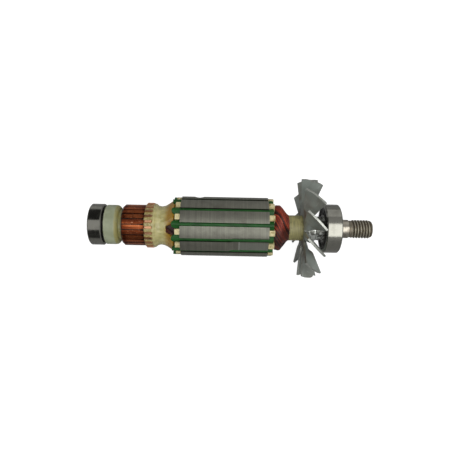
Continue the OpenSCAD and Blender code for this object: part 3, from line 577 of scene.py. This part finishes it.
def makePiece(name, vertices, faces, finishNames, node, faceFinish=None, sharpAngle=40):
    mesh = bpy.data.meshes.new(name)
    mesh.from_pydata([shaftToRow @ Vector(v) for v in vertices], [], faces)
    for finishName in finishNames:
        mesh.materials.append(finishes[finishName])
    for polygon in mesh.polygons:
        polygon.use_smooth = True
        if faceFinish:
            polygon.material_index = faceFinish[polygon.index]
    mesh.set_sharp_from_angle(angle=math.radians(sharpAngle))
    mesh.update()
    piece = newObject(name, mesh)
    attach(piece, "rotor")
    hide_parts(node)
    return piece


def roundGrid(rows, columns):
    # Faces between closed rings of points. Both ends stay open.
    faces = []
    for i in range(rows - 1):
        for j in range(columns):
            k = (j + 1) % columns
            faces.append((i * columns + j, i * columns + k, (i + 1) * columns + k, (i + 1) * columns + j))
    return faces


def addTube(vertices, faces, points, radius, sides):
    # A closed round tube along the points.
    start = len(vertices)
    count = len(points)
    for i, point in enumerate(points):
        ahead = (points[min(i + 1, count - 1)] - points[max(i - 1, 0)]).normalized()
        outward = Vector((point.x, point.y, 0)).normalized()
        across = ahead.cross(outward).normalized()
        lift = across.cross(ahead)
        for j in range(sides):
            a = 2 * math.pi * j / sides
            vertices.append(point + radius * (math.cos(a) * across + math.sin(a) * lift))
    for i in range(count - 1):
        for j in range(sides):
            k = (j + 1) % sides
            faces.append((start + i * sides + j, start + i * sides + k,
                          start + (i + 1) * sides + k, start + (i + 1) * sides + j))
    faces.append(tuple(start + sides - 1 - j for j in range(sides)))
    faces.append(tuple(start + (count - 1) * sides + j for j in range(sides)))


def weld(piece, distance=0.0001):
    # Closes the poles of a turned piece and drops faces that have no area.
    work = bmesh.new()
    work.from_mesh(piece.data)
    bmesh.ops.remove_doubles(work, verts=work.verts, dist=distance * mm)
    bmesh.ops.recalc_face_normals(work, faces=work.faces)
    work.to_mesh(piece.data)
    work.free()
    piece.data.update()


# The shaft with its thread

def makeShaft():
    shaft = {"pitch": 1.5, "depth": 0.88, "crestLoss": 0.02, "undercut": 0.45, "undercutWidth": 1.1,
             "journal": 5.8, "relief": 0.05, "groove": 0.3, "grooveWidth": 0.7, "chamfer": 0.8,
             "longChamfer": 1.3, "centreHole": 1.3, "holeAngle": 60, "wear": 0.05,
             "rootShare": 0.14, "flankShare": 0.66, "leadIn": 0.4, "step": 0.1, "columns": 96}
    whole = reach("shaft")
    front = reach("front_outer_ring")
    rear = reach("rear_outer_ring")
    seat = reach("rear_inner_ring")["inner"]
    main = whole["outer"]
    journalEnd = front["end"] + shaft["journal"]
    threadStart = journalEnd + shaft["undercutWidth"]
    threadEnd = whole["end"]
    holeDepth = shaft["centreHole"] * math.tan(math.radians(shaft["holeAngle"]))
    slim = main - shaft["relief"]
    neck = slim - shaft["undercut"]
    grooveEnd = front["end"] + shaft["grooveWidth"]
    plain = [(0.0, whole["start"] + holeDepth), (shaft["centreHole"], whole["start"]),
             (seat - shaft["chamfer"], whole["start"]), (seat, whole["start"] + shaft["chamfer"]),
             (seat, rear["end"]), (main, rear["end"]), (main, front["end"]),
             (slim - shaft["groove"], front["end"]), (slim - shaft["groove"], grooveEnd), (slim, grooveEnd)]
    plain += [(slim, grooveEnd + (journalEnd - shaft["undercut"] - grooveEnd) * i / 5) for i in range(1, 6)]
    plain += [(neck, journalEnd)]
    columns = shaft["columns"]
    rows = [[(r, z)] * columns for r, z in plain]

    def threadRadius(z, turn):
        phase = ((z - threadStart) / shaft["pitch"] - turn / (2 * math.pi)) % 1
        wave = 1 - abs(2 * phase - 1)
        height = min(max((wave - shaft["rootShare"]) / shaft["flankShare"], 0), 1)
        radius = slim - shaft["crestLoss"] - shaft["depth"] * (1 - height)
        pastChamfer = max(0, z - threadEnd + shaft["longChamfer"]) / shaft["longChamfer"]
        chamfer = slim - shaft["chamfer"] * pastChamfer
        run = smoothStep(threadStart - 0.2, threadStart + 1.2, z)
        grown = neck + (radius - neck) * run
        radius = grown if radius < neck else min(radius, grown + 0.05)
        worn = shaft["wear"] * noise.noise(Vector((turn * 2, z * 1.5, 3.1)))
        return min(radius, chamfer) - abs(worn)

    threadLong = threadEnd - threadStart + shaft["leadIn"]
    steps = int(threadLong / shaft["step"])
    for i in range(steps + 1):
        z = threadStart - shaft["leadIn"] + threadLong * i / steps
        rows.append([(threadRadius(z, 2 * math.pi * j / columns), z) for j in range(columns)])
    rows += [[(shaft["centreHole"], threadEnd)] * columns, [(0.0, threadEnd - holeDepth)] * columns]
    vertices = [atTurn(r, 2 * math.pi * j / columns, z) for row in rows for j, (r, z) in enumerate(row)]
    faces = roundGrid(len(rows), columns)
    threadFrom = len(plain) - 1
    faceFinish = [1 if threadFrom <= f // columns < len(rows) - 3 else 0 for f in range(len(faces))]
    weld(makePiece("threadedShaft", vertices, faces, ["turned", "thread"], "shaft", faceFinish))


makeShaft()
print("armature: threaded shaft made")


# The fan, sheared and twisted from one disc

def makeFan():
    # All rims are a little worn, and one blade has a nick at its leading corner: column and depth.
    fan = {"blades": 12, "turn": 25.7, "hub": 8.8, "rim": 26.49, "sheet": 1.1, "twist": 44.0, "twistRun": 6.5,
           "twistLine": 0.64, "slit": 0.5, "wobble": 1.2, "edgeBreak": 0.1, "wear": 0.12, "columns": 12,
           "nickedBlade": 9, "nick": {9: 0.25, 10: 1.0, 11: 1.2, 12: 0.3}, "sharpAngle": 50,
           "breakAngle": 60, "seed": 5}
    rim = fan["rim"]
    sheet = fan["sheet"]
    middle = sleeve["end"] + sheet / 2
    columns = fan["columns"]
    # Rings of points run from the spigot to the rim, closest where the blades twist.
    hubRadii = [reach("fan")["inner"], 6.9, 7.9, fan["hub"] - 0.02]
    radii = hubRadii + [fan["hub"] + 0.02, 9.1, 9.5, 10.0, 10.6, 11.2, 11.9, 12.6, 13.3, 14.1, 15.0, 16.5,
                        19.0, 22.0, 25.0, rim]
    chance = random.Random(fan["seed"])
    vertices = []
    faces = []
    faceFinish = []

    def bladePoint(rho, v, skin, wobble):
        # A point at radius rho, v from -1 to 1 across the blade, on its back (-1) or front skin (1).
        free = rho > fan["hub"]
        half = math.pi / fan["blades"] - (fan["slit"] / 2 / rho if free else 0)
        halfWidth = rho * math.sin(math.pi / fan["blades"] - fan["slit"] / 2 / rho)
        twist = math.radians(fan["twist"] + wobble)
        twist *= smoothStep(fan["hub"], fan["hub"] + fan["twistRun"], rho)
        offset = fan["twistLine"] * halfWidth
        across = rho * math.sin(v * half) + offset
        lift = skin * sheet / 2
        return (rho * math.cos(v * half),
                across * math.cos(twist) - offset - lift * math.sin(twist),
                across * math.sin(twist) + lift * math.cos(twist))

    for blade in range(fan["blades"]):
        turn = math.radians(fan["turn"] + blade * 360 / fan["blades"])
        wobble = -abs(chance.uniform(0, fan["wobble"]))
        start = len(vertices)
        worn = [fan["wear"] * chance.random() ** 2 for j in range(columns + 1)]
        if blade == fan["nickedBlade"]:
            worn = [worn[j] + fan["nick"].get(j, 0) for j in range(columns + 1)]
        for skin in (-1, 1):
            for rho in radii:
                for j in range(columns + 1):
                    short = worn[j] if rho == rim else 0
                    x, y, z = bladePoint(rho - short, 2 * j / columns - 1, skin, wobble)
                    vertices.append(Vector((x * math.cos(turn) - y * math.sin(turn),
                                            x * math.sin(turn) + y * math.cos(turn), z + middle)))
        width = columns + 1
        layer = width * len(radii)

        def at(skin, i, j):
            return start + skin * layer + i * width + j

        for i in range(len(radii) - 1):
            for j in range(columns):
                faces.append((at(1, i, j), at(1, i + 1, j), at(1, i + 1, j + 1), at(1, i, j + 1)))
                faces.append((at(0, i, j), at(0, i, j + 1), at(0, i + 1, j + 1), at(0, i + 1, j)))
                faceFinish += [0, 0]
            if i >= len(hubRadii) - 1:
                faces.append((at(0, i, 0), at(0, i + 1, 0), at(1, i + 1, 0), at(1, i, 0)))
                faces.append((at(0, i, columns), at(1, i, columns),
                              at(1, i + 1, columns), at(0, i + 1, columns)))
                faceFinish += [1, 1]
        last = len(radii) - 1
        for j in range(columns):
            faces.append((at(0, last, j), at(0, last, j + 1), at(1, last, j + 1), at(1, last, j)))
            faces.append((at(0, 0, j), at(1, 0, j), at(1, 0, j + 1), at(0, 0, j + 1)))
            faceFinish += [1, 1]
    piece = makePiece("pressedFan", vertices, faces, ["sheet", "shear"], "fan", faceFinish)
    weld(piece, 0.001)
    piece.data.set_sharp_from_angle(angle=math.radians(fan["sharpAngle"]))
    bevel = piece.modifiers.new("brokenEdges", "BEVEL")
    bevel.width = fan["edgeBreak"] * mm
    bevel.segments = 2
    bevel.limit_method = "ANGLE"
    bevel.angle_limit = math.radians(fan["breakAngle"])


makeFan()
print("armature: fan made")


# The winding: coil bundles over the front head, leads under the resin at the rear

def makeWinding():
    winding = {"wires": 16, "wire": 0.42, "top": 12.25, "halfWide": 15.8, "stray": 0.9, "pinch": 0.42,
               "sweep": 84.0, "curl": 1.25, "cross": 9.0, "crown": 0.2, "sink": 0.35, "wander": 0.09,
               "bodySink": 0.75, "steps": 16, "seed": 11}
    start = frontInsulator["end"]
    top = winding["top"] - winding["wire"] / 2
    # The head's outline as (share of the way, distance from the insulator, radius).
    outline = [(0.0, -0.6, 10.9), (0.1, 0.5, 11.6), (0.22, 1.7, top), (0.42, 3.7, top),
               (0.56, 4.8, top - 1.1), (0.7, 6.1, top - 2.6), (0.85, 7.4, top - 4.2),
               (1.0, 8.5, sleeve["outer"] + 0.2)]
    lengths = [(t, z) for t, z, r in outline]
    radii = [(t, r) for t, z, r in outline]
    chance = random.Random(winding["seed"])
    vertices = []
    faces = []
    faceFinish = []
    for bundle in range(slotRing["count"]):
        base = slotRing["turn"] + bundle * 360 / slotRing["count"] + chance.uniform(-2, 2)
        lift = chance.uniform(-0.12, 0.14)
        sweep = winding["sweep"] + chance.uniform(-1, 1) * winding["cross"]
        for wire in range(winding["wires"]):
            u = 2 * (wire + 0.5) / winding["wires"] - 1
            spread = u * winding["halfWide"] + chance.uniform(-winding["stray"], winding["stray"])
            phase = chance.uniform(0, 6)
            shade = chance.choice((0, 1, 0, 2, 1, 0))
            points = []
            for i in range(winding["steps"] + 1):
                t = i / winding["steps"]
                narrow = winding["pinch"] + (1 - winding["pinch"]) * smoothStep(0.0, 0.3, t)
                turn = base + spread * narrow + sweep * t ** winding["curl"]
                wander = winding["wander"] * math.sin(phase + 5 * t)
                arch = winding["crown"] * (1 - u * u) * math.sin(math.pi * min(t * 1.15, 1)) - winding["sink"]
                radius = between(radii, t) + arch + lift + wander
                height = start + between(lengths, t) + 0.35 * arch * t
                points.append(atTurn(radius, math.radians(turn), height))
            addTube(vertices, faces, points, winding["wire"] / 2, 8)
            faceFinish += [shade] * (len(faces) - len(faceFinish))

    def addBody(profile, columns=72):
        # A turned body of varnished coils under the wires.
        offset = len(vertices)
        for r, z in profile:
            vertices.extend(atTurn(r, 2 * math.pi * j / columns, z) for j in range(columns))
        faces.extend(tuple(offset + k for k in face) for face in roundGrid(len(profile), columns))
        faceFinish.extend([3] * (len(faces) - len(faceFinish)))

    # The front head's body, so that no gap between the wires shows daylight.
    floor = sleeve["outer"] + 0.05
    head = [(max(between(radii, t / 12) - winding["bodySink"], floor), start + between(lengths, t / 12) - 0.1)
            for t in range(13)]
    addBody([(floor, start - 1.0)] + head + [(floor, start + 8.1)])

    # Leads at the rear: they fan out of the slots and dive under the resin.
    leads = {"groups": 24, "wires": 3, "wire": 0.6, "apart": 3.2, "stray": 0.5, "sweep": -26.0, "proud": 0.25,
             "steps": 10}
    rear = rearInsulator["start"]
    outline = [(0.0, 1.0, 12.0), (0.2, -0.4, 12.3), (0.5, -2.4, 11.5), (1.0, -6.2, 9.6)]
    lengths = [(t, z) for t, z, r in outline]
    radii = [(t, r) for t, z, r in outline]
    for group in range(leads["groups"]):
        base = slotRing["turn"] + (group + 0.25 * (-1) ** group) * 360 / leads["groups"]
        for wire in range(leads["wires"]):
            spread = (wire - 1) * leads["apart"] + chance.uniform(-leads["stray"], leads["stray"])
            proud = leads["proud"] if wire == 1 else 0
            points = []
            for i in range(leads["steps"] + 1):
                t = i / leads["steps"]
                turn = base + spread + leads["sweep"] * t
                radius = between(radii, t) + proud + chance.uniform(-0.03, 0.03)
                points.append(atTurn(radius, math.radians(turn), rear + between(lengths, t)))
            addTube(vertices, faces, points, leads["wire"] / 2, 6)
            faceFinish += [chance.choice((0, 1))] * (len(faces) - len(faceFinish))

    # The rear head's body and the coils in the slots.
    floor = sleeve["outer"] + 0.1
    bodyStart = 36.0
    addBody([(floor, core["start"]), (12.3, core["start"]), (12.0, rear - 0.2), (11.0, rear - 2.5),
             (9.2, rear - 6.0), (8.9, bodyStart), (floor, bodyStart)])
    wireFinishes = ["wire", "wireDark", "wireLight", "varnish"]
    makePiece("windingWires", vertices, faces, wireFinishes, "winding", faceFinish, sharpAngle=60)


makeWinding()
print("armature: winding made")


# The resin coat over the leads, brushed on and uneven

def makeResin():
    coat = {"columns": 288, "rows": 110, "ripple": 0.1, "lump": 0.3, "ridge": 0.05, "bead": 0.25,
            "tongue": 0.9, "windowTurn": 222.0, "windowWidth": 34.0, "windowDepth": 4.9, "edge": 2.2,
            "inner": 9.2}
    start = resin["start"] + 0.1
    end = rearInsulator["start"] - 0.3
    commEnd = bar["end"]
    # The coat's outline as (distance from the rear bearing's face, radius).
    outline = [(start, barRadius + 0.1), (start + 0.4, 11.65), (commEnd - 0.6, 11.65), (commEnd + 0.2, 10.9),
               (commEnd + 1.4, 10.35), (37.4, 10.25), (39.2, 10.6), (41.0, 11.5), (43.0, 12.9), (44.6, 13.6),
               (end, 13.9)]
    vertices = []
    for i in range(coat["rows"] + 1):
        z = start + (end - start) * i / coat["rows"]
        for j in range(coat["columns"]):
            turn = 2 * math.pi * j / coat["columns"]
            place = atTurn(3.2, turn, z * 0.33)
            radius = between(outline, z)
            free = smoothStep(start, start + 2.0, z)
            radius += coat["ripple"] * noise.noise(place * 2.4) * free
            thick = smoothStep(39.0, 43.0, z)
            radius += coat["lump"] * noise.noise(place * 0.9 + Vector((7, 0, 0))) * thick
            # Leads show through as soft ridges.
            ridge = math.cos(barRing["count"] * (turn + (z - 36) * 0.035))
            radius += coat["ridge"] * ridge * smoothStep(36.5, 38.5, z)
            # Beads of resin between the tangs.
            phase = math.cos(barRing["count"] * (turn - math.radians(barRing["turn"])))
            atTangs = 1 - smoothStep(commEnd - 2.2, commEnd - 0.8, z)
            radius -= coat["bead"] * smoothStep(-0.1, 0.7, phase) * atTangs
            # The coat stops short of the core in ragged tongues, and leaves a window of bare wires.
            ragged = end - 0.2 + coat["tongue"] * noise.noise(atTurn(2.2, turn, 5.0))
            away = abs((math.degrees(turn) - coat["windowTurn"] + 180) % 360 - 180)
            inWindow = 1 - smoothStep(coat["windowWidth"] * 0.2, coat["windowWidth"] * 0.55, away)
            ragged -= coat["windowDepth"] * inWindow
            radius -= coat["edge"] * smoothStep(ragged - 0.5, ragged + 0.4, z)
            vertices.append(atTurn(radius, turn, z))
    for radius, z in ((coat["inner"], end), (barRadius - 0.3, start)):
        for j in range(coat["columns"]):
            vertices.append(atTurn(radius, 2 * math.pi * j / coat["columns"], z))
    rows = coat["rows"] + 3
    faces = roundGrid(rows, coat["columns"])
    last = (rows - 1) * coat["columns"]
    for j in range(coat["columns"]):
        k = (j + 1) % coat["columns"]
        faces.append((last + j, last + k, k, j))
    makePiece("resinCoat", vertices, faces, ["resin"], "lead_resin", sharpAngle=60)


makeResin()
print("armature: resin coat made")


# The view, the floor and the light

def makeView():
    view = {"lens": 35.4, "sensor": 36.0, "distance": 238.0, "elevation": 58.25, "roll": 1.11,
            "aimAlong": 71.1, "aimUp": 0.86, "nearest": 5.0}
    e = math.radians(view["elevation"])
    outward = -math.cos(e) * side - math.sin(e) * down
    upward = outward.cross(along).normalized()
    roll = math.radians(view["roll"])
    right = math.cos(roll) * along + math.sin(roll) * upward
    top = -math.sin(roll) * along + math.cos(roll) * upward
    target = shaftStart + along * view["aimAlong"] * mm + upward * view["aimUp"] * mm
    camera = bpy.data.cameras.new("viewCamera")
    camera.lens = view["lens"]
    camera.sensor_width = view["sensor"]
    camera.clip_start = view["nearest"] * mm
    holder = newObject("viewCamera", camera)
    turned = Matrix((right, top, outward)).transposed().to_4x4()
    holder.matrix_world = Matrix.Translation(target + outward * view["distance"] * mm) @ turned
    bpy.context.scene.camera = holder
    return outward, upward


def makeFloor():
    # In the metal's reflections the paper goes dark past the rear bearing, for a low dark band there.
    paper = {"colour": "#8E8E8E", "dark": "#141412", "level": 0.92, "glossyLevel": 0.08, "darkLevel": 0.01,
             "sideEdge": (-0.046, -0.03), "endEdge": (-0.03, 0.0), "size": 3.0}
    corners = [(x * paper["size"], y * paper["size"], 0) for x, y in ((-1, -1), (1, -1), (1, 1), (-1, 1))]
    mesh = bpy.data.meshes.new("floor")
    mesh.from_pydata(corners, [], [(0, 1, 2, 3)])
    floor = newObject("floor", mesh)
    finish, tree, shader = newFinish("paperFloor", {"Roughness": 0.9})
    path = addNode(tree, "ShaderNodeLightPath").outputs
    coords = addNode(tree, "ShaderNodeTexCoord").outputs["Object"]
    parts = addNode(tree, "ShaderNodeSeparateXYZ", {}, [coords]).outputs
    edges = [addNode(tree, "ShaderNodeMapRange", smooth, [value, *paper[edge], 1.0, 0.0])
             for value, edge in ((parts["Y"], "sideEdge"), (parts["X"], "endEdge"))]
    beyond = meeting(tree, *edges)
    dress(tree, shader, paper["colour"], [(meeting(tree, beyond, path["Is Glossy Ray"]), paper["dark"])])
    # Metal sees the white paper too, but dimmer, so that it keeps its dark bands.
    seen = addNode(tree, "ShaderNodeMath", greater, [path["Is Camera Ray"], path["Is Transmission Ray"]])
    glossy = addNode(tree, "ShaderNodeMapRange", smooth, [
        beyond, 0, 1, paper["glossyLevel"], paper["darkLevel"]])
    seenToo = addNode(tree, "ShaderNodeMath", greater, [seen, meeting(tree, path["Is Glossy Ray"], glossy)])
    feed(tree, shader, {
        "Emission Color": (1, 1, 1, 1), "Emission Strength": meeting(tree, seenToo, paper["level"])})
    mesh.materials.append(finish)


def makeLight(outward, upward):
    # Each lamp's direction, distance, width and height in metres, and level.
    lamps = {"keyLamp": (outward + 0.27 * along - 0.12 * upward, 0.75, 0.55, 0.8, 2.7),
             "fillLamp": (Vector((0.2, 0.8, 0.75)), 1.2, 0.9, 0.9, 0.6),
             "endLamp": (Vector((-0.9, -0.15, 0.3)), 1.0, 0.5, 0.5, 1.2)}
    centre = shaftStart + along * 72 * mm
    for name, (direction, away, wide, tall, level) in lamps.items():
        data = bpy.data.lights.new(name, "AREA")
        data.shape = "RECTANGLE"
        data.size = wide
        data.size_y = tall
        data.energy = level * math.pi * wide * tall
        holder = newObject(name, data)
        back = direction.normalized()
        right = (along - back * along.dot(back)).normalized()
        turned = Matrix((right, back.cross(right), back)).transposed().to_4x4()
        holder.matrix_world = Matrix.Translation(centre + back * away) @ turned

    world = bpy.data.worlds.new("studio")
    bpy.context.scene.world = world
    world.use_nodes = True
    tree = world.node_tree
    tree.nodes.clear()
    coords = addNode(tree, "ShaderNodeTexCoord").outputs["Generated"]
    parts = addNode(tree, "ShaderNodeSeparateXYZ", {}, [coords]).outputs
    # The room's brightness goes by the angle from the front horizon (0) over the top to the back (1).
    toBack = meeting(tree, parts["Y"], -1.0)
    overTop = addNode(tree, "ShaderNodeMath", angle, [parts["Z"], toBack])
    share = meeting(tree, overTop, 1 / math.pi)
    room = {"bearingEnd": [(0.0, 0.04), (0.12, 0.04), (0.15, 0.8), (0.44, 0.8), (0.46, 0.03), (0.83, 0.05),
                           (0.87, 0.6)],
            "threadEnd": [(0.0, 0.45), (0.1, 0.55), (0.16, 0.7), (0.44, 0.7), (0.5, 0.6), (0.6, 0.56),
                          (0.7, 0.34), (0.82, 0.18), (0.94, 0.42)]}
    ends = []
    for stops in room.values():
        ramp = addNode(tree, "ShaderNodeValToRGB", {}, [share])
        marks = ramp.color_ramp.elements
        while len(marks) < len(stops):
            marks.new(0.5)
        for mark, (place, level) in zip(marks, stops):
            mark.position = place
            mark.color = (level, level, level, 1)
        ends.append(ramp)
    towards = addNode(tree, "ShaderNodeMapRange", smooth, [parts["X"], -0.25, -0.1])
    shade = addNode(tree, "ShaderNodeMix", {"data_type": "RGBA"}, {0: towards, 6: ends[0], 7: ends[1]})
    background = addNode(tree, "ShaderNodeBackground", {}, {"Color": shade, "Strength": 1.0})
    white = addNode(tree, "ShaderNodeBackground", {}, {"Color": (1, 1, 1, 1), "Strength": 1.0})
    path = addNode(tree, "ShaderNodeLightPath").outputs
    seen = addNode(tree, "ShaderNodeMath", greater, [path["Is Camera Ray"], path["Is Transmission Ray"]])
    mix = addNode(tree, "ShaderNodeMixShader", {}, [seen, background, white])
    addNode(tree, "ShaderNodeOutputWorld", {}, [mix])


outward, upward = makeView()
makeFloor()
makeLight(outward, upward)
bpy.context.scene.view_settings.view_transform = "Standard"
print("armature: view, floor and light made")
